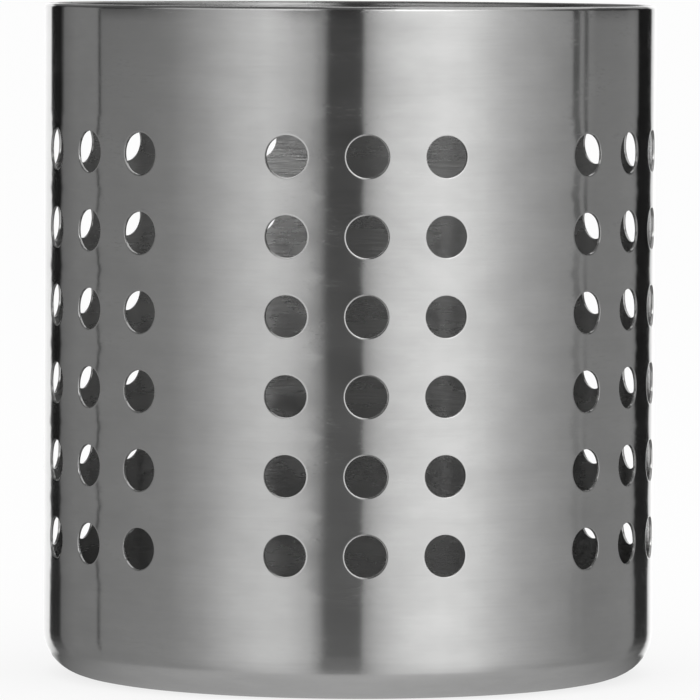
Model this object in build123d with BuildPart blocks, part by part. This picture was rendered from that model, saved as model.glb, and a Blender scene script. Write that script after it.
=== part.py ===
from build123d import *
import math
import os

# A round utensil holder of thin stainless sheet, standing on its foot ring.
# Millimetres, +Z up. The origin is the centre of the foot, on the surface that the holder
# stands on. The front is -Y, and the middle column of one group of holes is centred on it.

# Body
outer_diameter = 120.0
height = 131.5
sheet = 0.5

# Rim: the wall's top edge is rolled inwards, so that no cut edge faces the hand
hem_radius = 0.8
hem_leg = 2.5

# Holes in the wall, punched in the flat strip before it is rolled into a sleeve.
# Column pitch and seam allowance are lengths along the strip.
hole_diameter = 8.0
row_count = 6
row_pitch = 15.1
first_row_height = 27.8
column_count = 3
column_pitch = 15.3
group_count = 6
seam_allowance = 1.3

# Welds, ground flush on the outside
seam_width = 1.0
base_weld_width = 1.0
base_weld_crown = 0.2

# Base pan: a pressed dish whose raised middle leaves a flat ring to stand on
corner_radius = 8.7
pan_flange = 2.0
foot_width = 7.5
base_rise = 1.2
rise_run = 1.6
bend_radius = 1.5

# Drain holes: one in the middle of the base and rings of them round it
drain_diameter = 8.0
drain_ring_count = 2
drain_ring_pitch = 15.0
drains_in_first_ring = 6

# Worked out from the sizes above
radius = outer_diameter / 2
neutral_radius = radius - sheet / 2
pan_top = corner_radius + pan_flange
sleeve_bottom = pan_top + base_weld_width
hem_height = height - hem_radius
foot_inner_radius = radius - corner_radius - foot_width
rise_radius = foot_inner_radius - rise_run


def strip_angle(length):
    """The turn, in degrees, that a length of the flat strip makes once it is rolled."""
    return math.degrees(length / neutral_radius)


group_angle = (360 - strip_angle(seam_allowance)) / group_count
column_angle = strip_angle(column_pitch)
seam_angle = (360 - (group_count - 1) * group_angle) / 2
seam_turn = strip_angle(seam_width)


def outward(angle):
    """The level direction that faces out at an angle from the front, turning towards +X."""
    turn = math.radians(angle)
    return Vector(math.sin(turn), -math.cos(turn), 0)


def section_plane(angle):
    """The upright half section at that angle: first direction outwards, second upwards."""
    return Plane(origin=(0, 0, 0), x_dir=outward(angle), z_dir=outward(angle).cross(Vector(0, 0, 1)))


# The wall's section: straight up, over the rolled rim and down its short leg
with BuildLine() as wall_section:
    Line((radius, sleeve_bottom), (radius, hem_height))
    ThreePointArc(
        (radius, hem_height),
        (radius - hem_radius, height),
        (radius - 2 * hem_radius, hem_height),
    )
    Line(
        (radius - 2 * hem_radius, hem_height),
        (radius - 2 * hem_radius, hem_height - hem_leg),
    )
    offset(amount=sheet, side=Side.LEFT)

# Wall: one perforated strip, rolled round until its ends are a weld's width apart
hole_places = [
    Plane(
        origin=outward(angle) * radius + Vector(0, 0, first_row_height + row * row_pitch),
        z_dir=outward(angle),
    )
    for group in range(group_count)
    for column in range(column_count)
    for angle in [(column - (column_count - 1) / 2) * column_angle - group * group_angle]
    for row in range(row_count)
]
with BuildPart() as wall_sleeve:
    with BuildSketch(section_plane(seam_angle + seam_turn / 2)):
        with BuildLine():
            add(wall_section.line)
        make_face()
    revolve(axis=Axis.Z, revolution_arc=360 - seam_turn)
    with Locations(*hole_places):
        Hole(radius=hole_diameter / 2, depth=hole_diameter / 2)
wall_sleeve.part.label = "wall_sleeve"

# Side seam: the weld that closes the sleeve from its lower edge over the rim.
# It is rolled flat before the rim is turned, so it has the wall's own section.
with BuildPart() as side_seam_weld:
    with BuildSketch(section_plane(seam_angle - seam_turn / 2)):
        with BuildLine():
            add(wall_section.line)
        make_face()
    revolve(axis=Axis.Z, revolution_arc=seam_turn)
side_seam_weld.part.label = "side_seam_weld"

# Base pan: pressed from one disc, with a short flange that carries on the line of the wall
with BuildPart() as base_pan:
    with BuildSketch(section_plane(0)):
        with BuildLine():
            FilletPolyline(
                (radius, pan_top),
                (radius, 0),
                (foot_inner_radius, 0),
                (rise_radius, base_rise),
                (0, base_rise),
                radius=(corner_radius, bend_radius, bend_radius),
            )
            offset(amount=sheet, side=Side.RIGHT)
        make_face()
    revolve(axis=Axis.Z)
    with Locations((0, 0, base_rise)):
        Hole(radius=drain_diameter / 2, depth=drain_diameter / 2)
    for ring in range(1, drain_ring_count + 1):
        with Locations((0, 0, base_rise)):
            with PolarLocations(ring * drain_ring_pitch, ring * drains_in_first_ring):
                Hole(radius=drain_diameter / 2, depth=drain_diameter / 2)
base_pan.part.label = "base_pan"

# Base weld: the bead that joins the flange to the sleeve, with a low crown left inside
with BuildPart() as base_weld:
    with BuildSketch(section_plane(0)):
        with BuildLine():
            Polyline(
                (radius - sheet, pan_top),
                (radius, pan_top),
                (radius, sleeve_bottom),
                (radius - sheet, sleeve_bottom),
            )
            ThreePointArc(
                (radius - sheet, sleeve_bottom),
                (radius - sheet - base_weld_crown, (pan_top + sleeve_bottom) / 2),
                (radius - sheet, pan_top),
            )
        make_face()
    revolve(axis=Axis.Z)
base_weld.part.label = "base_weld"

os.makedirs("parts", exist_ok=True)
for piece in (wall_sleeve, side_seam_weld, base_pan, base_weld):
    export_step(piece.part, f"parts/{piece.part.label}.step")
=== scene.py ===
import math

import bmesh
import bpy
from mathutils import Matrix, Vector


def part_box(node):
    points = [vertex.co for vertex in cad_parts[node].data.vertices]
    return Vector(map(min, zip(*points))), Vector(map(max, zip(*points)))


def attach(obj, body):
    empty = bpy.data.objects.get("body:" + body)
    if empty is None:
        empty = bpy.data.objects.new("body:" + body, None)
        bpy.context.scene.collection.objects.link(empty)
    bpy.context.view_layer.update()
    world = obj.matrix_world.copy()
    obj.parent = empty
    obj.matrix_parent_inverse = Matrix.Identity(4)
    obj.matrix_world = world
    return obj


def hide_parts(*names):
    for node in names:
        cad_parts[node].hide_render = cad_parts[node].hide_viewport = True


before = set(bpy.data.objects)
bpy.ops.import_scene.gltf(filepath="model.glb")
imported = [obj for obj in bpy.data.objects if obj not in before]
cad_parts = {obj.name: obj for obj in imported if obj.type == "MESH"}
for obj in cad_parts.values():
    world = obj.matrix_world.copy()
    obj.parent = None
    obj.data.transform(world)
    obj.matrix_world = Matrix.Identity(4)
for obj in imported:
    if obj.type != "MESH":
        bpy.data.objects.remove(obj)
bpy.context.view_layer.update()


# The wall: one strip of half-millimetre stainless sheet. Its holes are punched in the flat, six
# groups of three columns, then the strip is rolled into a sleeve, brushed round its body, and
# its top edge is rolled inwards over a short leg so that no cut edge faces the hand.
MM = 0.001
sleeve_low, sleeve_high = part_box("wall_sleeve")
wall_radius = sleeve_high.y
sleeve_bottom = sleeve_low.z
wall_height = sleeve_high.z
sheet = 0.5 * MM
hem_radius = 0.8 * MM
hem_leg = 2.5 * MM
hole_radius = 4.0 * MM
row_count, row_pitch, first_row = 6, 15.1 * MM, 27.8 * MM
column_count, column_pitch = 3, 15.3 * MM
group_count, seam_allowance, seam_width = 6, 1.3 * MM, 1.0 * MM

hem_height = wall_height - hem_radius
strip_length = 2 * math.pi * (wall_radius - sheet / 2)
group_pitch = (strip_length - seam_allowance) / group_count
group_width = column_count * column_pitch
gap_width = group_pitch - group_width
seam_gap = strip_length - (group_count - 1) * group_pitch - group_width
seam_side_width = (seam_gap - seam_width) / 2
seam_place = (group_width + seam_gap) / 2
strip_top = hem_height + math.pi * hem_radius + hem_leg
hole_zone_low = first_row - row_pitch / 2
hole_zone_high = hole_zone_low + row_count * row_pitch

# A punched edge is rolled over, and the lip round each hole stands proud of the sheet between
edge_roll = 0.16 * MM
lip_rise, lip_width = 0.042 * MM, 3.6 * MM

# How finely the wall is divided: round a hole, and row by row from its lower edge to the leg's end
edge_roll_steps = 2
lip_rings = (4.4 * MM, 4.9 * MM, 5.5 * MM, 6.2 * MM, 7.0 * MM)
cell_steps = 10
points_round = 4 * cell_steps
seam_side_steps = 12
low_rows, high_rows, hem_rows, leg_rows = 4, 8, 12, 2
join_distance = 0.002 * MM
far_from_holes = 1.0
crease_angle = math.radians(40)


class Tree:
    """A node tree as it is built, called t below: what it is given, and its nodes wired by socket."""

    def __init__(self, tree, given=None, result=None):
        self.tree, self.given, self.result = tree, given, result

    def wire(self, socket, value):
        if isinstance(value, bpy.types.NodeSocket):
            self.tree.links.new(value, socket)
        else:
            socket.default_value = value

    def node(self, kind, inputs=None, **settings):
        """A node of that kind, whose named or numbered inputs take these values or sockets."""
        made = self.tree.nodes.new(kind)
        for name, value in settings.items():
            setattr(made, name, value)
        for name, value in (inputs or {}).items():
            self.wire(made.inputs[name], value)
        return made

    def math(self, operation, *values):
        return self.node("ShaderNodeMath", dict(enumerate(values)), operation=operation).outputs[0]

    def vector(self, operation, *values):
        made = self.node("ShaderNodeVectorMath", dict(enumerate(values)), operation=operation)
        return made.outputs["Value" if operation in ("LENGTH", "DOT_PRODUCT") else "Vector"]

    def xyz(self, x, y, z):
        return self.node("ShaderNodeCombineXYZ", {"X": x, "Y": y, "Z": z}).outputs[0]

    def parts(self, vector):
        return self.node("ShaderNodeSeparateXYZ", {0: vector}).outputs

    def join(self, *pieces):
        made = self.tree.nodes.new("GeometryNodeJoinGeometry")
        for piece in reversed(pieces):
            self.tree.links.new(piece, made.inputs[0])
        return made.outputs[0]

    def shared(self, tree, *values):
        """Another tree used inside this one, with its inputs in order."""
        kind = "GeometryNodeGroup" if tree.bl_idname == "GeometryNodeTree" else "ShaderNodeGroup"
        made = self.tree.nodes.new(kind)
        made.node_tree = tree
        for socket, value in zip(made.inputs, values):
            self.wire(socket, value)
        return made.outputs

    def finish(self, *results):
        for socket, value in zip(self.result.inputs, results):
            self.wire(socket, value)
        return self.tree


def new_tree(kind, name, inputs, outputs):
    tree = bpy.data.node_groups.new(name, kind)
    for label, socket in inputs:
        tree.interface.new_socket(label, in_out="INPUT", socket_type="NodeSocket" + socket)
    for label, socket in outputs:
        tree.interface.new_socket(label, in_out="OUTPUT", socket_type="NodeSocket" + socket)
    given = tree.nodes.new("NodeGroupInput").outputs
    return Tree(tree, given, tree.nodes.new("NodeGroupOutput"))


def geometry_tree(name, inputs):
    mesh = ("Geometry", "Geometry")
    t = new_tree("GeometryNodeTree", name, [mesh, *inputs], [mesh])
    t.tree.is_modifier = True
    return t


def merged(t, geometry):
    return t.node("GeometryNodeMergeByDistance", {
        "Geometry": geometry, "Distance": join_distance,
    }).outputs[0]


def marked(t, geometry, name, value, domain):
    """The geometry with a value kept under that name on each of its points or faces."""
    return t.node("GeometryNodeStoreNamedAttribute", {
        "Geometry": geometry, "Name": name, "Value": value,
    }, data_type="FLOAT", domain=domain).outputs[0]


def kept_value(t, name):
    return t.node("GeometryNodeInputNamedAttribute", {"Name": name}, data_type="FLOAT").outputs[0]


def point_place(t):
    return t.parts(t.node("GeometryNodeInputPosition").outputs[0])


def moved_to(t, geometry, place):
    return t.node("GeometryNodeSetPosition", {"Geometry": geometry, "Position": place}).outputs[0]


def moved_by(t, geometry, step):
    return t.node("GeometryNodeSetPosition", {"Geometry": geometry, "Offset": step}).outputs[0]


def give_thickness():
    """Turns a flat sheet at height 0 into one of full thickness: a skin below, a skin above.

    Inside Below is 1 where the skin below ends up inside the holder, and 0 where it is the other."""
    t = geometry_tree("Give The Sheet Its Thickness", [("Sheet", "Float"), ("Inside Below", "Float")])
    flat, thickness, below = t.given["Geometry"], t.given["Sheet"], t.given["Inside Below"]
    lifted = t.node("GeometryNodeExtrudeMesh", {
        "Mesh": flat, "Offset": (0, 0, 1), "Offset Scale": thickness, "Individual": False,
    }, mode="FACES").outputs["Mesh"]
    above = t.math("SUBTRACT", 1.0, below)
    turned = t.node("GeometryNodeFlipFaces", {"Mesh": flat}).outputs[0]
    upper = marked(t, lifted, "inside", above, "FACE")
    lower = marked(t, turned, "inside", below, "FACE")
    return t.finish(merged(t, t.join(upper, lower)))


def round_the_edges():
    """The look of a punched edge: the sheet's upper skin rolls over at it."""
    t = geometry_tree("Roll The Punched Edges Over", [
        ("Sheet", "Float"), ("Hole Radius", "Float"), ("Edge Roll", "Float"),
    ])
    g = t.given
    past_edge = t.math("SUBTRACT", kept_value(t, "from_hole"), g["Hole Radius"])
    left = t.math("MAXIMUM", t.math("SUBTRACT", g["Edge Roll"], past_edge), 0.0)
    round_part = t.math("SUBTRACT", t.math("POWER", g["Edge Roll"], 2.0), t.math("POWER", left, 2.0))
    drop = t.math("SUBTRACT", t.math("SQRT", t.math("MAXIMUM", round_part, 0.0)), g["Edge Roll"])
    upper = t.math("GREATER_THAN", point_place(t)["Z"], t.math("MULTIPLY", g["Sheet"], 0.5))
    return t.finish(moved_by(t, g["Geometry"], t.xyz(0.0, 0.0, t.math("MULTIPLY", upper, drop))))


sink_inputs = (
    "Hole Radius", "Lip Rise", "Lip Width", "Sleeve Bottom", "Hole Zone Low", "Hole Zone High",
    "Hem Height",
)


def sink_between():
    """The sheet bends a little more along the holes than between them, so that their lips stand proud.

    All but the lips sinks by the lip's rise, which fades out towards the rim and the lower edge."""
    t = geometry_tree("Sink Between The Holes", [(name, "Float") for name in sink_inputs])
    g = t.given
    past_edge = t.math("SUBTRACT", kept_value(t, "from_hole"), g["Hole Radius"])
    share = t.math("SUBTRACT", 1.0, t.math("DIVIDE", past_edge, g["Lip Width"]))
    sunk = t.math("SUBTRACT", 1.0, t.math("POWER", t.math("MAXIMUM", share, 0.0), 2.0))
    up = point_place(t)["Y"]
    for still, full in (("Sleeve Bottom", "Hole Zone Low"), ("Hem Height", "Hole Zone High")):
        sunk = t.math("MULTIPLY", sunk, t.node("ShaderNodeMapRange", {
            "Value": up, "From Min": g[still], "From Max": g[full],
        }, interpolation_type="SMOOTHSTEP").outputs[0])
    drop = t.math("MULTIPLY", sunk, t.math("MULTIPLY", g["Lip Rise"], -1.0))
    return t.finish(moved_by(t, g["Geometry"], t.xyz(0.0, 0.0, drop)))


def roll_up():
    """Rolls the flat strip round the axis and its top edge over the hem.

    In the flat, x runs along the strip from the front, y up it, and z is 0 on the inner skin."""
    t = geometry_tree("Roll Into A Sleeve", [
        ("Wall Radius", "Float"), ("Sheet", "Float"), ("Hem Height", "Float"), ("Hem Radius", "Float"),
    ])
    radius, thickness = t.given["Wall Radius"], t.given["Sheet"]
    hem_start, bend = t.given["Hem Height"], t.given["Hem Radius"]
    place = point_place(t)
    along, up = place["X"], place["Y"]
    depth = t.math("SUBTRACT", place["Z"], thickness)
    past_hem = t.math("SUBTRACT", up, hem_start)
    turn = t.math("MINIMUM", t.math("MAXIMUM", t.math("DIVIDE", past_hem, bend), 0.0), math.pi)
    leg = t.math("MAXIMUM", t.math("SUBTRACT", past_hem, t.math("MULTIPLY", bend, math.pi)), 0.0)
    reach = t.math("ADD", bend, depth)
    out = t.math("ADD", t.math("SUBTRACT", radius, bend), t.math("MULTIPLY", reach, t.math("COSINE", turn)))
    straight = t.math("SUBTRACT", t.math("MINIMUM", up, hem_start), leg)
    height = t.math("ADD", straight, t.math("MULTIPLY", reach, t.math("SINE", turn)))
    neutral = t.math("SUBTRACT", radius, t.math("MULTIPLY", thickness, 0.5))
    angle = t.math("DIVIDE", along, neutral)
    x = t.math("MULTIPLY", out, t.math("SINE", angle))
    y = t.math("MULTIPLY", out, t.math("MULTIPLY", t.math("COSINE", angle), -1.0))
    return t.finish(moved_to(t, t.given["Geometry"], t.xyz(x, y, height)))


def finished(t, geometry):
    """Smooth shading, with the cut edges of the sheet kept crisp, and the piece's material."""
    smooth = t.node("GeometryNodeSetShadeSmooth", {
        "Geometry": geometry, "Shade Smooth": True,
    }, domain="FACE").outputs[0]
    fold = t.node("GeometryNodeInputMeshEdgeAngle").outputs["Unsigned Angle"]
    soft = t.node("FunctionNodeCompare", {0: fold, 1: crease_angle}, operation="LESS_THAN").outputs[0]
    creased = t.node("GeometryNodeSetShadeSmooth", {
        "Geometry": smooth, "Shade Smooth": soft,
    }, domain="EDGE").outputs[0]
    return t.finish(t.node("GeometryNodeSetMaterial", {
        "Geometry": creased, "Material": t.given["Finish"],
    }).outputs[0])


def plain_stack(t, width, steps, with_hole_zone):
    """Plain sheet of that width over the strip's whole height, or all but the height of the holes."""
    g = t.given
    hem_end = t.math("ADD", g["Hem Height"], t.math("MULTIPLY", g["Hem Radius"], math.pi))
    spans = [
        (g["Sleeve Bottom"], g["Hole Zone Low"], low_rows),
        (g["Hole Zone High"], g["Hem Height"], high_rows),
        (g["Hem Height"], hem_end, hem_rows),
        (hem_end, g["Strip Top"], leg_rows),
    ]
    if with_hole_zone:
        spans.append((g["Hole Zone Low"], g["Hole Zone High"], row_count * cell_steps))
    sheets = []
    for start, end, rows in spans:
        height = t.math("SUBTRACT", end, start)
        middle = t.math("MULTIPLY", t.math("ADD", start, end), 0.5)
        grid = t.node("GeometryNodeMeshGrid", {
            "Size X": width, "Size Y": height, "Vertices X": steps + 1, "Vertices Y": rows + 1,
        }).outputs[0]
        sheets.append(t.node("GeometryNodeTransform", {
            "Geometry": grid, "Translation": t.xyz(0.0, middle, 0.0),
        }).outputs[0])
    return marked(t, t.join(*sheets), "from_hole", far_from_holes, "POINT")


def repeat(t, part, count, start, step):
    """Copies of a part in a line along the strip."""
    line = t.node("GeometryNodeMeshLine", {
        "Count": count, "Start Location": start, "Offset": step,
    }, mode="OFFSET").outputs[0]
    return t.node("GeometryNodeInstanceOnPoints", {"Points": line, "Instance": part}).outputs[0]


strip_inputs = [
    ("Wall Radius", "Float"), ("Sheet", "Float"), ("Sleeve Bottom", "Float"),
    ("Hole Zone Low", "Float"), ("Hole Zone High", "Float"), ("Hem Height", "Float"),
    ("Hem Radius", "Float"), ("Strip Top", "Float"), ("Hole Radius", "Float"),
    ("Lip Rise", "Float"), ("Lip Width", "Float"), ("Finish", "Material"),
]


def rolled(t, flat):
    """Rolls the flat strip up. Past the rim's top its outer skin has turned to the inside."""
    g = t.given
    rim_top = t.math("ADD", g["Hem Height"], t.math("MULTIPLY", g["Hem Radius"], math.pi / 2))
    past_top = t.math("GREATER_THAN", point_place(t)["Y"], rim_top)
    faced = marked(t, flat, "inside", t.math("MAXIMUM", kept_value(t, "inside"), past_top), "FACE")
    sunk = t.shared(sink_tree, faced, *(g[name] for name in sink_inputs))[0]
    return t.shared(sleeve_tree, sunk, g["Wall Radius"], g["Sheet"], g["Hem Height"], g["Hem Radius"])[0]


def punched_strip():
    """The whole wall from one punched cell of sheet, which is the object's own mesh."""
    t = geometry_tree("Punch And Roll The Wall", [
        *strip_inputs, ("First Row", "Float"), ("Rows", "Int"), ("Row Pitch", "Float"),
        ("Columns", "Int"), ("Column Pitch", "Float"), ("Groups", "Int"), ("Group Pitch", "Float"),
        ("Gap Width", "Float"), ("Seam Side Width", "Float"), ("Edge Roll", "Float"),
    ])
    g = t.given
    from_hole = t.vector("LENGTH", t.node("GeometryNodeInputPosition").outputs[0])
    cell = marked(t, g["Geometry"], "from_hole", from_hole, "POINT")
    row_step = t.xyz(0.0, g["Row Pitch"], 0.0)
    column = repeat(t, cell, g["Rows"], t.xyz(0.0, g["First Row"], 0.0), row_step)
    steps_to_edge = t.math("MULTIPLY", t.math("SUBTRACT", g["Columns"], 1.0), -0.5)
    first_column = t.xyz(t.math("MULTIPLY", steps_to_edge, g["Column Pitch"]), 0.0, 0.0)
    holes = repeat(t, column, g["Columns"], first_column, t.xyz(g["Column Pitch"], 0.0, 0.0))
    width = t.math("MULTIPLY", g["Columns"], g["Column Pitch"])
    group = t.join(holes, plain_stack(t, width, column_count * cell_steps, False))
    back = t.math("MULTIPLY", g["Group Pitch"], -1.0)
    groups = repeat(t, group, g["Groups"], (0, 0, 0), t.xyz(back, 0.0, 0.0))
    gap = plain_stack(t, g["Gap Width"], cell_steps, True)
    gap_count = t.math("SUBTRACT", g["Groups"], 1.0)
    first_gap = t.xyz(t.math("MULTIPLY", back, 0.5), 0.0, 0.0)
    gaps = repeat(t, gap, gap_count, first_gap, t.xyz(back, 0.0, 0.0))
    side = plain_stack(t, g["Seam Side Width"], seam_side_steps, True)
    half = t.math("MULTIPLY", t.math("ADD", width, g["Seam Side Width"]), 0.5)
    span = t.math("ADD", t.math("MULTIPLY", half, 2.0), t.math("MULTIPLY", g["Group Pitch"], gap_count))
    sides = repeat(t, side, 2, t.xyz(half, 0.0, 0.0), t.xyz(t.math("MULTIPLY", span, -1.0), 0.0, 0.0))
    strip = t.node("GeometryNodeRealizeInstances", {0: t.join(groups, gaps, sides)}).outputs[0]
    thick = t.shared(thickness_tree, merged(t, strip), g["Sheet"], 1.0)[0]
    punched = t.shared(edge_tree, thick, g["Sheet"], g["Hole Radius"], g["Edge Roll"])[0]
    return finished(t, rolled(t, punched))


def mesh_data(name, mesh):
    data = bpy.data.meshes.new(name)
    mesh.to_mesh(data)
    mesh.free()
    return data


def punched_cell():
    """One flat cell of sheet round a hole: rings from the hole's edge out to the cell's border."""
    mesh = bmesh.new()
    rolled_rings = [
        hole_radius + edge_roll * (1 - math.cos(math.pi / 2 * k / edge_roll_steps))
        for k in range(edge_roll_steps + 1)
    ]
    turns = [math.pi / 4 + 2 * math.pi * k / points_round for k in range(points_round)]
    rings = []
    for ring_radius in (*rolled_rings, *lip_rings):
        rings.append([
            mesh.verts.new((ring_radius * math.cos(a), ring_radius * math.sin(a), 0)) for a in turns
        ])
    corners = [(1, 1), (-1, 1), (-1, -1), (1, -1), (1, 1)]
    border = []
    for (x0, y0), (x1, y1) in zip(corners, corners[1:]):
        for k in range(cell_steps):
            share = k / cell_steps
            x, y = x0 + (x1 - x0) * share, y0 + (y1 - y0) * share
            border.append(mesh.verts.new((x * column_pitch / 2, y * row_pitch / 2, 0)))
    rings.append(border)
    for inner, outer in zip(rings, rings[1:]):
        for k in range(points_round):
            after = (k + 1) % points_round
            mesh.faces.new((inner[k], outer[k], outer[after], inner[after]))
    return mesh_data("punched_cell", mesh)


def add_object(name, data):
    piece = bpy.data.objects.new(name, data)
    bpy.context.scene.collection.objects.link(piece)
    return piece


def make_with_nodes(piece, tree, values):
    """Runs the tree on the piece with these inputs, and leaves the piece as a plain mesh."""
    modifier = piece.modifiers.new("made", "NODES")
    modifier.node_group = tree
    sockets = {s.name: s.identifier for s in tree.interface.items_tree if s.in_out == "INPUT"}
    for name, value in values.items():
        modifier[sockets[name]] = value
    shown = piece.evaluated_get(bpy.context.evaluated_depsgraph_get())
    piece.data = bpy.data.meshes.new_from_object(shown)
    piece.modifiers.remove(modifier)
    return piece


# The steel's cloudy patches, how wavy it lies, and how much each kind of mark shows on it
cloud_length, cloud_width, waves_per_metre = 12 * MM, 6 * MM, 24.0
stroke_share, cloud_share, scratch_share, scratch_roughness = 0.2, 0.8, 0.05, 0.06
wave_height, ripple_height, stroke_height = 0.25 * MM, 0.08 * MM, 0.0005 * MM
blue_share = 0.992


def brush_strokes():
    """Marks of brushing round the axis: strokes level on the wall and in rings on the base.

    Their places across the strokes are counted along the section, outwards and then up."""
    t = new_tree("ShaderNodeTree", "Brush Strokes", [
        ("Stroke Length", "Float"), ("Stroke Width", "Float"),
    ], [
        ("Strokes", "Float"), ("Bands", "Float"), ("Scratches", "Float"),
        ("Clouds", "Float"), ("Waves", "Float"), ("Ripples", "Float"),
    ])
    length, width = t.given["Stroke Length"], t.given["Stroke Width"]
    place = t.node("ShaderNodeTexCoord").outputs["Object"]
    x, y, z = t.parts(place)
    across = t.math("ADD", t.vector("LENGTH", t.xyz(x, y, 0.0)), z)

    def stretched(run, step, detail, roughness):
        spot = t.xyz(t.math("DIVIDE", x, run), t.math("DIVIDE", y, run), t.math("DIVIDE", across, step))
        return t.node("ShaderNodeTexNoise", {
            "Vector": spot, "Scale": 1.0, "Detail": detail, "Roughness": roughness,
        }).outputs["Fac"]

    def grain(times_long, times_wide, detail):
        run, step = t.math("MULTIPLY", length, times_long), t.math("MULTIPLY", width, times_wide)
        return stretched(run, step, detail, 0.6)

    clouds = stretched(cloud_length, cloud_width, 3.0, 0.5)
    patches = t.node("ShaderNodeMapRange", {
        "Value": clouds, "From Min": 0.45, "From Max": 0.6,
    }).outputs[0]
    marks = t.node("ShaderNodeMapRange", {
        "Value": grain(0.12, 1.1, 1.0), "From Min": 0.6, "From Max": 0.7,
    }).outputs[0]
    waves = t.node("ShaderNodeTexNoise", {
        "Vector": place, "Scale": waves_per_metre, "Detail": 1.0,
    }).outputs["Fac"]
    return t.finish(
        grain(1.0, 1.0, 3.0), grain(4.0, 9.0, 2.0), t.math("MULTIPLY", marks, patches),
        clouds, waves, grain(1.6, 1.2, 1.5),
    )


def brushed_steel(name, outside, inside):
    """Stainless steel brushed round the axis, finer and smoother outside than inside, and paler outside:
    the inside grey is set darker as painted shade of the holder's hollow.

    outside and inside give a stroke's length and width, the darkest and lightest grey, and the
    least and most roughness there."""
    made = bpy.data.materials.new(name)
    made.use_nodes = True
    t = Tree(made.node_tree)
    shader = made.node_tree.nodes["Principled BSDF"]
    face = t.node("ShaderNodeAttribute", attribute_name="inside").outputs["Fac"]
    fine, coarse = t.shared(stroke_group, *outside["stroke"]), t.shared(stroke_group, *inside["stroke"])

    def by_face(out, within):
        return t.node("ShaderNodeMix", {"Factor": face, 2: out, 3: within}).outputs[0]

    strokes, bands = (
        t.math("MULTIPLY", by_face(fine[label], coarse[label]), stroke_share)
        for label in ("Strokes", "Bands")
    )
    grain = t.math("ADD", strokes, bands)
    cloudy = t.math("MULTIPLY", t.math("SUBTRACT", fine["Clouds"], 0.5), cloud_share)
    tone = t.math("ADD", grain, cloudy)

    def varied(kind):
        """From the first value to the second as the tone goes through the range of the grain."""
        low, high = (by_face(out, within) for out, within in zip(outside[kind], inside[kind]))
        return t.node("ShaderNodeMapRange", {
            "Value": tone, "From Min": 0.0, "From Max": 2 * stroke_share, "To Min": low, "To Max": high,
        }).outputs[0]

    def bumped(distance, height, normal=None):
        under = {} if normal is None else {"Normal": normal}
        return t.node("ShaderNodeBump", {"Distance": distance, "Height": height} | under).outputs[0]

    # The inside faces take the darker grey, which is painted shade of the hollow
    grey = varied("grey")
    roughness = t.math("ADD", varied("roughness"), t.math("MULTIPLY", fine["Scratches"], scratch_roughness))
    ripples = t.math("MULTIPLY", coarse["Ripples"], face)
    marks = t.math("MULTIPLY", fine["Scratches"], scratch_share)
    wavy = bumped(wave_height, fine["Waves"])
    rippled = bumped(ripple_height, t.math("ADD", ripples, marks), wavy)
    relief = bumped(stroke_height, grain, rippled)
    place = t.node("ShaderNodeTexCoord").outputs["Object"]
    t.wire(shader.inputs["Base Color"], t.xyz(grey, grey, t.math("MULTIPLY", grey, blue_share)))
    t.wire(shader.inputs["Roughness"], roughness)
    t.wire(shader.inputs["Normal"], relief)
    t.wire(shader.inputs["Tangent"], t.vector("NORMALIZE", t.vector("CROSS_PRODUCT", (0, 0, 1), place)))
    shader.inputs["Metallic"].default_value = 1.0
    shader.inputs["Anisotropic"].default_value = 1.0
    shader.inputs["Anisotropic Rotation"].default_value = 0.25
    return made


thickness_tree = give_thickness()
edge_tree = round_the_edges()
sink_tree = sink_between()
sleeve_tree = roll_up()
stroke_group = brush_strokes()
steel = brushed_steel(
    "brushed_sheet",
    outside={"stroke": (14 * MM, 0.3 * MM), "grey": (0.58, 0.66), "roughness": (0.14, 0.17)},
    # Inside: coarser and rougher brushing, and a darker grey that is painted shade of the holder's hollow
    inside={"stroke": (4 * MM, 0.5 * MM), "grey": (0.4, 0.5), "roughness": (0.24, 0.3)},
)

strip_values = {
    "Wall Radius": wall_radius, "Sheet": sheet, "Sleeve Bottom": sleeve_bottom,
    "Hole Zone Low": hole_zone_low, "Hole Zone High": hole_zone_high,
    "Hem Height": hem_height, "Hem Radius": hem_radius, "Strip Top": strip_top,
    "Hole Radius": hole_radius, "Lip Rise": lip_rise, "Lip Width": lip_width,
}
wall_values = strip_values | {
    "First Row": first_row, "Rows": row_count, "Row Pitch": row_pitch,
    "Columns": column_count, "Column Pitch": column_pitch, "Groups": group_count,
    "Group Pitch": group_pitch, "Gap Width": gap_width, "Seam Side Width": seam_side_width,
    "Edge Roll": edge_roll, "Finish": steel,
}
rolled_wall = make_with_nodes(add_object("rolled_wall", punched_cell()), punched_strip(), wall_values)
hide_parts("wall_sleeve")
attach(rolled_wall, "root")


# The side seam: the butt weld that closes the sleeve, rolled flat before the rim was turned,
# ground flush inside and out and brushed over. It has the wall's own section and one narrow width.
seam_steps = 2


def seam_strip():
    t = geometry_tree("Weld The Side Seam", [
        *strip_inputs, ("Seam Width", "Float"), ("Seam Place", "Float"),
    ])
    g = t.given
    stack = plain_stack(t, g["Seam Width"], seam_steps, True)
    placed = t.node("GeometryNodeTransform", {
        "Geometry": stack, "Translation": t.xyz(g["Seam Place"], 0.0, 0.0),
    }).outputs[0]
    thick = t.shared(thickness_tree, merged(t, placed), g["Sheet"], 1.0)[0]
    return finished(t, rolled(t, thick))


ground_weld = brushed_steel(
    "ground_weld",
    outside={"stroke": (14 * MM, 0.3 * MM), "grey": (0.578, 0.658), "roughness": (0.142, 0.172)},
    # Inside: coarser and rougher brushing, and a darker grey that is painted shade of the hollow
    inside={"stroke": (3 * MM, 0.5 * MM), "grey": (0.4, 0.5), "roughness": (0.24, 0.3)},
)
wall_seam = make_with_nodes(
    add_object("wall_seam", bpy.data.meshes.new("wall_seam")), seam_strip(),
    strip_values | {"Seam Width": seam_width, "Seam Place": seam_place, "Finish": ground_weld},
)
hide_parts("side_seam_weld")
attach(wall_seam, "root")


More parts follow.
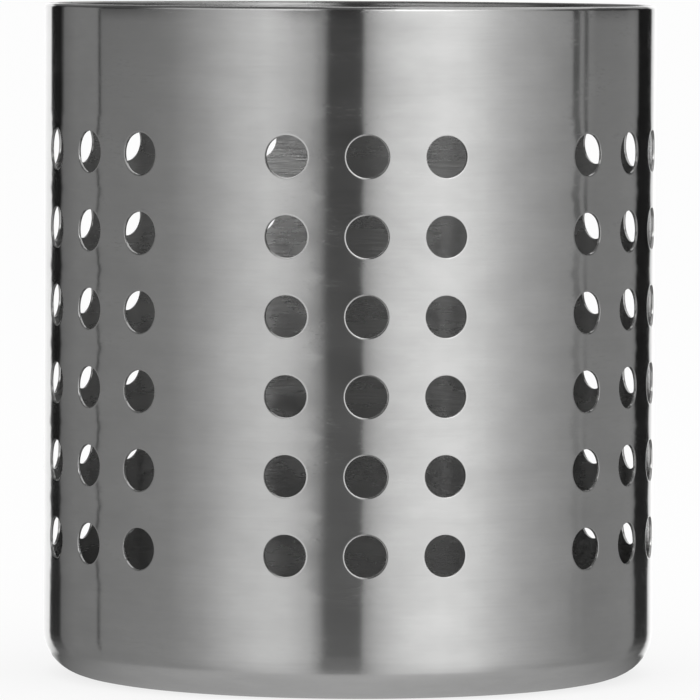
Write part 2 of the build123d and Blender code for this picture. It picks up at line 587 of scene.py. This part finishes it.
# The base: a disc of the same sheet with drain holes punched through its middle, pressed so that
# a flat foot ring stands below the middle and the edge turns up round the corner in a short flange.
pan_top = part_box("base_pan")[1].z
corner_radius = 8.7 * MM
foot_width = 7.5 * MM
base_rise, rise_run = 1.2 * MM, 1.6 * MM
bend_radius = 1.5 * MM
drain_pitch, drain_rings, drains_in_first_ring = 15.0 * MM, 2, 6
drain_radius, drain_edge_roll = 4.0 * MM, 0.15 * MM
punched_radius = 39 * MM
turn_steps, press_steps, bend_steps = 192, 72, 12


def bent_line(corners, radii):
    """The points of a line through these corners, with each inner corner bent to its radius."""
    points = [Vector(corners[0])]
    for before, corner, after, bend in zip(corners, corners[1:], corners[2:], radii):
        corner = Vector(corner)
        back = (Vector(before) - corner).normalized()
        on = (Vector(after) - corner).normalized()
        half = back.angle(on) / 2
        centre = corner + (back + on).normalized() * bend / math.sin(half)
        start = corner + back * bend / math.tan(half) - centre
        sweep = math.pi - 2 * half
        side = math.copysign(1, start.x * on.y - start.y * on.x)
        for k in range(bend_steps + 1):
            points.append(centre + Matrix.Rotation(side * sweep * k / bend_steps, 2) @ start)
    points.append(Vector(corners[-1]))
    return points


def section_line(name, points, closed=False):
    """A mesh of edges through points of a half section: outwards along x, upwards along z."""
    data = bpy.data.meshes.new(name)
    edges = [(k, k + 1) for k in range(len(points) - 1)]
    if closed:
        edges.append((len(points) - 1, 0))
    data.from_pydata([(p[0], 0, p[1]) for p in points], edges, [])
    return data


def flat_ring(t, inner, outer, rings, steps):
    """A flat ring of sheet round the axis, between two radii."""
    width = t.math("SUBTRACT", outer, inner)
    grid = t.node("GeometryNodeMeshGrid", {
        "Size X": width, "Size Y": 2 * math.pi, "Vertices X": rings + 1, "Vertices Y": steps + 1,
    }).outputs[0]
    place = point_place(t)
    far = t.math("ADD", place["X"], t.math("MULTIPLY", t.math("ADD", inner, outer), 0.5))
    x = t.math("MULTIPLY", far, t.math("COSINE", place["Y"]))
    y = t.math("MULTIPLY", far, t.math("SINE", place["Y"]))
    return merged(t, moved_to(t, grid, t.xyz(x, y, 0.0)))


def press():
    """Presses a flat disc along a half section, which gives its lower skin."""
    t = geometry_tree("Press The Disc", [("Section", "Geometry")])
    x, y, z = point_place(t)
    far = t.vector("LENGTH", t.xyz(x, y, 0.0))
    line = t.node("GeometryNodeMeshToCurve", {"Mesh": t.given["Section"]}).outputs[0]
    sample = t.node("GeometryNodeSampleCurve", {"Curves": line}, mode="LENGTH", use_all_curves=True)
    t.wire(sample.inputs["Length"], far)
    on, along = t.parts(sample.outputs["Position"]), t.parts(sample.outputs["Tangent"])
    out = t.math("SUBTRACT", on["X"], t.math("MULTIPLY", along["Z"], z))
    up = t.math("ADD", on["Z"], t.math("MULTIPLY", along["X"], z))
    stretch = t.math("DIVIDE", out, far)
    place = t.xyz(t.math("MULTIPLY", x, stretch), t.math("MULTIPLY", y, stretch), up)
    return t.finish(moved_to(t, t.given["Geometry"], place))


def pressed_pan():
    """The base from its own section line: a flat disc is punched, given thickness and pressed."""
    t = geometry_tree("Punch And Press The Base", [
        ("Sheet", "Float"), ("Punched Radius", "Float"), ("Disc Radius", "Float"),
        ("Drain Radius", "Float"), ("Edge Roll", "Float"), ("Drain Pitch", "Float"),
        ("First Ring", "Int"), ("Finish", "Material"),
    ])
    g = t.given
    lip = t.math("ADD", g["Drain Radius"], g["Edge Roll"])
    washer = flat_ring(t, g["Drain Radius"], lip, edge_roll_steps, points_round)
    from_hole = t.vector("LENGTH", t.node("GeometryNodeInputPosition").outputs[0])
    washer = marked(t, washer, "from_hole", from_hole, "POINT")
    centre = t.node("GeometryNodeMeshLine", {"Count": 1}, mode="OFFSET").outputs[0]
    rings = [
        t.node("GeometryNodeMeshCircle", {
            "Vertices": t.math("MULTIPLY", g["First Ring"], float(ring)),
            "Radius": t.math("MULTIPLY", g["Drain Pitch"], float(ring)),
        }).outputs[0]
        for ring in range(1, drain_rings + 1)
    ]
    drains = t.join(centre, *rings)
    edge, rim = (
        t.node("GeometryNodeCurvePrimitiveCircle", {"Resolution": steps, "Radius": radius}).outputs[0]
        for steps, radius in ((points_round, lip), (turn_steps, g["Punched Radius"]))
    )
    edges, washers = (
        t.node("GeometryNodeRealizeInstances", {
            0: t.node("GeometryNodeInstanceOnPoints", {"Points": drains, "Instance": part}).outputs[0],
        }).outputs[0]
        for part in (edge, washer)
    )
    plate = t.node("GeometryNodeFillCurve", {"Curve": t.join(rim, edges)}, mode="TRIANGLES").outputs[0]
    outer = flat_ring(t, g["Punched Radius"], g["Disc Radius"], press_steps, turn_steps)
    unpunched = marked(t, t.join(plate, outer), "from_hole", far_from_holes, "POINT")
    thick = t.shared(thickness_tree, merged(t, t.join(unpunched, washers)), g["Sheet"], 0.0)[0]
    punched = t.shared(edge_tree, thick, g["Sheet"], g["Drain Radius"], g["Edge Roll"])[0]
    return finished(t, t.shared(press_tree, punched, g["Geometry"])[0])


foot_inner_radius = wall_radius - corner_radius - foot_width
pan_section = bent_line([
    (0, base_rise), (foot_inner_radius - rise_run, base_rise), (foot_inner_radius, 0),
    (wall_radius, 0), (wall_radius, pan_top),
], (bend_radius, bend_radius, corner_radius))
disc_radius = sum((b - a).length for a, b in zip(pan_section, pan_section[1:]))
press_tree = press()
pressed_base = make_with_nodes(
    add_object("pressed_base", section_line("pressed_base", pan_section)), pressed_pan(), {
        "Sheet": sheet, "Punched Radius": punched_radius, "Disc Radius": disc_radius,
        "Drain Radius": drain_radius, "Edge Roll": drain_edge_roll, "Drain Pitch": drain_pitch,
        "First Ring": drains_in_first_ring, "Finish": steel,
    },
)
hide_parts("base_pan")
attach(pressed_base, "root")


# The base weld: the bead that joins the base's flange to the sleeve all the way round. It is
# ground flush outside, and inside it keeps a low crown with the ripples of the weld pool.
bead_crown = 0.2 * MM
crown_steps, bead_steps = 6, 4 * turn_steps
ripple_pitch, ripple_depth = 1.2 * MM, 0.03 * MM


def ring_bead():
    """Its section, which is the object's own mesh, taken round the axis, with ripples on the crown."""
    t = geometry_tree("Lay The Ring Bead", [
        ("Bead Radius", "Float"), ("Crown From", "Float"), ("Crown", "Float"), ("Ripples", "Float"),
        ("Ripple Depth", "Float"), ("Finish", "Material"),
    ])
    g = t.given
    x, y, z = point_place(t)
    reach = t.math("SUBTRACT", x, g["Bead Radius"])
    flat = moved_to(t, g["Geometry"], t.xyz(reach, t.math("MULTIPLY", z, -1.0), 0.0))
    section = t.node("GeometryNodeMeshToCurve", {"Mesh": flat}).outputs[0]
    path = t.node("GeometryNodeCurvePrimitiveCircle", {
        "Resolution": bead_steps, "Radius": g["Bead Radius"],
    }).outputs[0]
    upright = t.node("GeometryNodeSetCurveNormal", {"Curve": path}, mode="Z_UP").outputs[0]
    ring = t.node("GeometryNodeCurveToMesh", {"Curve": upright, "Profile Curve": section}).outputs[0]
    far = t.vector("LENGTH", t.xyz(x, y, 0.0))
    wave = t.math("SINE", t.math("MULTIPLY", t.math("ARCTAN2", y, x), g["Ripples"]))
    crown = t.math("MAXIMUM", t.math("SUBTRACT", g["Crown From"], far), 0.0)
    share = t.math("DIVIDE", crown, g["Crown"])
    height = t.math("MULTIPLY", t.math("MULTIPLY", wave, g["Ripple Depth"]), share)
    stretch = t.math("SUBTRACT", 1.0, t.math("DIVIDE", height, far))
    place = t.xyz(t.math("MULTIPLY", x, stretch), t.math("MULTIPLY", y, stretch), z)
    rippled = moved_to(t, ring, place)
    inner = marked(t, rippled, "inside", t.math("GREATER_THAN", crown, 0.0), "FACE")
    return finished(t, inner)


inner_radius = wall_radius - sheet
half_bead = (sleeve_bottom - pan_top) / 2
crown_radius = (half_bead**2 + bead_crown**2) / (2 * bead_crown)
crown_angle = math.asin(half_bead / crown_radius)
crown_line = [
    (
        inner_radius - bead_crown + crown_radius * (1 - math.cos(turn)),
        pan_top + half_bead + crown_radius * math.sin(turn),
    )
    for k in range(crown_steps + 1)
    for turn in [crown_angle * (2 * k / crown_steps - 1)]
]
base_bead = make_with_nodes(
    add_object("base_bead", section_line("base_bead", [
        *crown_line, (wall_radius, sleeve_bottom), (wall_radius, pan_top),
    ], closed=True)),
    ring_bead(), {
        "Bead Radius": wall_radius, "Crown From": inner_radius, "Crown": bead_crown,
        "Ripples": float(round(2 * math.pi * inner_radius / ripple_pitch)),
        "Ripple Depth": ripple_depth, "Finish": ground_weld,
    },
)
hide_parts("base_weld")
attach(base_bead, "root")


# The floor: a pale table top. The steel mirrors only the near part of it, as it would on a
# small shooting table; the rest carries on in the same finish to the horizon.
table_radius, floor_radius = 0.064, 40.0
disc_steps = 96
table_grey, glow_share = 0.95, 0.8
# How bright the painted reflection of the table is in the steel on the camera's side of the axis,
# level with the axis and behind it, and where along y the first and the last of these are reached
table_near, table_level, table_behind = 0.54, 0.12, 0.5
near_from, behind_from = -0.06, 0.012


def floor_ring(name, inner, outer):
    """A flat ring round the axis, or a whole disc where the inner radius is 0."""
    mesh = bmesh.new()
    turns = [2 * math.pi * k / disc_steps for k in range(disc_steps)]

    def rim(radius):
        return [mesh.verts.new((radius * math.cos(a), radius * math.sin(a), 0)) for a in turns]

    if inner > 0:
        near, far = rim(inner), rim(outer)
        for k in range(disc_steps):
            after = (k + 1) % disc_steps
            mesh.faces.new((near[k], far[k], far[after], near[after]))
    else:
        mesh.faces.new(rim(outer))
    return add_object(name, mesh_data(name, mesh))


def pale_table():
    """Matt and pale, with a glow of its own that keeps it near white to the camera, and a painted
    reflection in the steel: a glow that only glossy rays see, light in front of and behind the axis and
    dark level with it.
    """
    made = bpy.data.materials.new("pale_table")
    made.use_nodes = True
    t = Tree(made.node_tree)
    rays = t.node("ShaderNodeLightPath").outputs
    away = t.parts(t.node("ShaderNodeTexCoord").outputs["Object"])["Y"]
    near, behind = (
        t.node("ShaderNodeMapRange", {
            "Value": away, "From Min": start, "From Max": 0.0,
            "To Min": most - table_level, "To Max": 0.0,
        }).outputs[0]
        for start, most in ((near_from, table_near), (behind_from, table_behind))
    )
    # Painted reflection: what the steel mirrors of the table is a glow set by place, not the table's lit
    # shade
    painted_in_steel = t.math("ADD", t.math("ADD", near, behind), table_level)
    painted_dimming = t.math("MULTIPLY", rays["Is Glossy Ray"], t.math("SUBTRACT", 1.0, painted_in_steel))
    glowing = t.node("ShaderNodeEmission", {
        "Color": (1, 1, 1, 1), "Strength": t.math("SUBTRACT", 1.0, painted_dimming),
    }).outputs[0]
    lit = t.node("ShaderNodeBsdfDiffuse", {
        "Color": (table_grey, table_grey, table_grey, 1),
    }).outputs[0]
    to_camera = t.math("MULTIPLY", rays["Is Camera Ray"], glow_share)
    share = t.math("MAXIMUM", rays["Is Glossy Ray"], to_camera)
    surface = t.node("ShaderNodeMixShader", {0: share, 1: lit, 2: glowing}).outputs[0]
    t.wire(made.node_tree.nodes["Material Output"].inputs["Surface"], surface)
    return made


pale = pale_table()
table = floor_ring("table", 0, table_radius)
floor = floor_ring("floor", table_radius, floor_radius)
floor.visible_glossy = False
for ground in (table, floor):
    ground.data.materials.append(pale)


# The studio: a tent of cards that only the steel mirrors. Its lower cards are dark at the camera,
# pale at both sides of it, and white with dark strips behind. Its upper ones are lamps, dark between,
# and one lamp more hangs over the holder.
camera_turn = math.radians(3.165)
card_gain = 1.15
# The lower cards: how bright they are at each angle, in degrees to the camera's right
card_edges = [
    (-180, 1.0), (-150.5, 0.9), (-149.5, 0.0), (-136.5, 0.0), (-134.5, 0.16), (-122, 0.22), (-85, 0.26),
    (-68, 0.28), (-54, 0.39), (-42, 0.57), (-30, 0.7), (-22, 0.7), (-14, 0.54), (-10, 0.3),
    (-7.5, 0.035), (4.0, 0.035), (5.1, 0.35), (10, 0.55), (16, 0.7), (24, 0.83), (34, 0.92), (43, 0.87),
    (52, 0.69), (59, 0.56), (66, 0.47), (75, 0.39), (88, 0.31), (99, 0.25), (130, 0.25), (133.8, 0.22),
    (135.8, 0.0), (152.7, 0.0), (154.2, 0.7), (162, 1.0), (180, 1.0),
]
# The upper cards: lamps at both sides of the camera and behind the holder
upper_edges = [
    (-180, 0.5), (-165, 0.15), (-120, 0.05), (-90, 0.05), (-75, 0.3), (-54, 0.45), (-38, 0.65), (-25, 0.75),
    (-14, 0.5), (-9, 0.1), (-7, 0.03), (4, 0.03), (6, 0.35), (12, 0.8), (20, 1.3), (32, 1.3), (45, 0.85),
    (60, 0.46), (75, 0.25), (90, 0.05), (140, 0.05), (150, 0.35), (170, 0.45), (180, 0.5),
]
# The share of the lower cards' light that is left at their top
shaded_edges = [
    (-180, 1.0), (-107, 1.0), (-104, 0.1), (-95, 0.1), (-90, 0.2), (-75, 0.2), (-65, 0.55), (-55, 1.0),
    (-31, 1.0), (-21, 0.1), (-12, 0.1), (-9, 1.0), (100, 1.0), (103, 0.2), (124, 0.1), (128, 0.4),
    (140, 0.4), (142, 1.0), (180, 1.0),
]
tent_radius, tent_low, tent_high, tent_steps = 1.0, -1.5, 1.13, 720
# The tent's rings: how high, how many times wider the lower cards spread there, how strongly the
# lower and the upper cards glow, and the least light in front and at the back
tent_rings = [
    (tent_low, 1.15, 0.7, 0.0, 0.24, 0.24), (-0.35, 1.1, 0.95, 0.0, 0.17, 0.17),
    (-0.13, 1.0, 1.0, 0.0, 0.19, 0.06), (-0.06, 1.0, 1.0, 0.0, 0.115, 0.01),
    (0.16, 1.0, 1.0, 0.0, 0.02, 0.01), (0.2, 1.0, 1.0, 0.0, 0.02, 0.01),
    (0.33, 1.0, 1.0, 0.0, 0.02, 0.01), (0.37, 1.0, 0.0, 0.85, 0.02, 0.01),
    (0.5, 1.0, 0.0, 1.1, 0.02, 0.01), (0.6, 1.0, 0.0, 1.55, 0.02, 0.01),
    (0.75, 1.0, 0.0, 1.8, 0.02, 0.01), (tent_high, 1.0, 0.0, 1.0, 0.02, 0.01),
]
shaded_from, back_angle = 0.2, 120
# The gaps and creases of the cards: angle, width in degrees, and lower and upper ends
gap_radius, gap_light = 0.99 * tent_radius, 0.06
card_gaps = [
    (-134.8, 2.2, 0.085, tent_high), (-105.2, 1.5, -0.2, 0.3), (91.4, 3.6, 0.05, tent_high),
    (96.8, 2.2, 0.06, tent_high),
]
light_below, light_above = 0.23, 0.13
# The lamp overhead: its corners sideways and away from the camera, for each metre above the rim
overhead_rise, overhead_light = 0.62, 0.65
overhead_corners = [
    (0.3, -0.95), (0.8, -0.6), (1.25, 0.0), (1.25, 0.5), (0.8, 1.2), (-0.05, 1.5), (-0.05, 0.45),
    (0.17, 0.05), (0.22, -0.5),
]


def card_light(edges, angle):
    """How bright a row of cards is at an angle to the camera's right."""
    for (start, first), (end, last) in zip(edges, edges[1:]):
        if start <= angle <= end:
            return first + (last - first) * (angle - start) / (end - start)


def card_corner(mesh, glow, distance, angle, height, light):
    """A corner at an angle to the camera's right, which keeps how brightly it glows."""
    turn = math.radians(angle) - camera_turn
    corner = mesh.verts.new((distance * math.sin(turn), -distance * math.cos(turn), height))
    corner[glow] = light
    return corner


def card_tent():
    mesh = bmesh.new()
    glow = mesh.verts.layers.float.new("glow")
    rings = []
    for height, wider, lower_share, upper_share, least_in_front, least_at_back in tent_rings:
        ring = []
        for k in range(tent_steps):
            angle = 360 * k / tent_steps - 180
            lower = lower_share * card_light(card_edges, angle / wider)
            if height >= shaded_from:
                lower *= card_light(shaded_edges, angle)
            light = lower + upper_share * card_light(upper_edges, angle)
            light = max(light, least_at_back if abs(angle) > back_angle else least_in_front)
            ring.append(card_corner(mesh, glow, tent_radius, angle, height, card_gain * light))
        rings.append(ring)
    for lower, higher in zip(rings, rings[1:]):
        for k in range(tent_steps):
            after = (k + 1) % tent_steps
            mesh.faces.new((lower[k], lower[after], higher[after], higher[k]))
    for angle, width, low, high in card_gaps:
        mesh.faces.new([
            card_corner(mesh, glow, gap_radius, angle + side * width / 2, height, gap_light)
            for side, height in ((-1, low), (1, low), (1, high), (-1, high))
        ])
    return add_object("card_tent", mesh_data("card_tent", mesh))


def card_overhead():
    mesh = bmesh.new()
    glow = mesh.verts.layers.float.new("glow")
    corners = []
    for x, y in overhead_corners:
        far, angle = overhead_rise * math.hypot(x, y), math.degrees(math.atan2(x, -y))
        height = wall_height + overhead_rise
        corners.append(card_corner(mesh, glow, far, angle, height, overhead_light))
    mesh.faces.new(corners)
    return add_object("card_overhead", mesh_data("card_overhead", mesh))


def card_disc(name, radius, height, light):
    """A disc that closes the tent below or above."""
    disc = floor_ring(name, 0, radius)
    for vertex in disc.data.vertices:
        vertex.co.z = height
    glow = disc.data.attributes.new("glow", "FLOAT", "POINT")
    for value in glow.data:
        value.value = light
    return disc


lit_card = bpy.data.materials.new("lit_card")
lit_card.use_nodes = True
lit_card.cycles.emission_sampling = "NONE"
card_tree = Tree(lit_card.node_tree)
card_glow = card_tree.node("ShaderNodeAttribute", attribute_name="glow").outputs["Fac"]
card_emission = card_tree.node("ShaderNodeEmission", {"Color": (1, 1, 1, 1), "Strength": card_glow})
card_tree.wire(lit_card.node_tree.nodes["Material Output"].inputs["Surface"], card_emission.outputs[0])
cards = [
    card_tent(),
    card_disc("card_below", tent_radius, tent_low, light_below),
    card_disc("card_above", tent_radius, tent_high, light_above),
    card_overhead(),
]
for card in cards:
    card.data.materials.append(lit_card)
    card.visible_camera = False
    card.visible_diffuse = False
    card.visible_shadow = False

# A soft lamp and the white room light the floor, the room a little less strongly than it looks
soft_place, soft_lean, soft_size, soft_watts = (0.1, -0.3, 1.6), math.radians(-10), 1.2, 1.5
soft_top = add_object("soft_top", bpy.data.lights.new("soft_top", "AREA"))
soft_top.location = soft_place
soft_top.rotation_euler = (soft_lean, 0, 0)
soft_top.data.shape = "DISK"
soft_top.data.size = soft_size
soft_top.data.energy = soft_watts
soft_top.visible_glossy = False

room_light = 0.95
world = bpy.data.worlds.new("world")
bpy.context.scene.world = world
world.use_nodes = True
sky = Tree(world.node_tree)
sky_rays = sky.node("ShaderNodeLightPath").outputs
seen = sky.math("MAXIMUM", sky_rays["Is Camera Ray"], sky_rays["Is Glossy Ray"])
strength = sky.math("ADD", room_light, sky.math("MULTIPLY", seen, 1 - room_light))
background = world.node_tree.nodes["Background"]
background.inputs["Color"].default_value = (1, 1, 1, 1)
sky.wire(background.inputs["Strength"], strength)


# The camera: a long lens a little above the rim and just to the left of the front. It points close
# to the middle of the holder and is rolled by a quarter of a degree.
camera_distance, camera_height = 1.432, 0.1456
camera_aim, camera_pitch, camera_roll = math.radians(0.008), math.radians(3.282), math.radians(0.284)
lens_mm = 375.0
camera = add_object("camera", bpy.data.cameras.new("camera"))
bpy.context.scene.camera = camera
spot = Vector((-math.sin(camera_turn), -math.cos(camera_turn), 0)) * camera_distance
heading = camera_turn + camera_aim
level = Vector((math.sin(heading), math.cos(heading), 0))
right = Vector((math.cos(heading), -math.sin(heading), 0))
up = Vector((0, 0, 1))
ahead = level * math.cos(camera_pitch) - up * math.sin(camera_pitch)
above = level * math.sin(camera_pitch) + up * math.cos(camera_pitch)
leaned_right = right * math.cos(camera_roll) + above * math.sin(camera_roll)
leaned_above = above * math.cos(camera_roll) - right * math.sin(camera_roll)
facing = Matrix((leaned_right, leaned_above, -ahead)).transposed().to_4x4()
camera.matrix_world = Matrix.Translation(spot + up * camera_height) @ facing
camera.data.sensor_width = 36.0
camera.data.lens = lens_mm
camera.data.clip_end = 100

bpy.context.scene.view_settings.view_transform = "Standard"
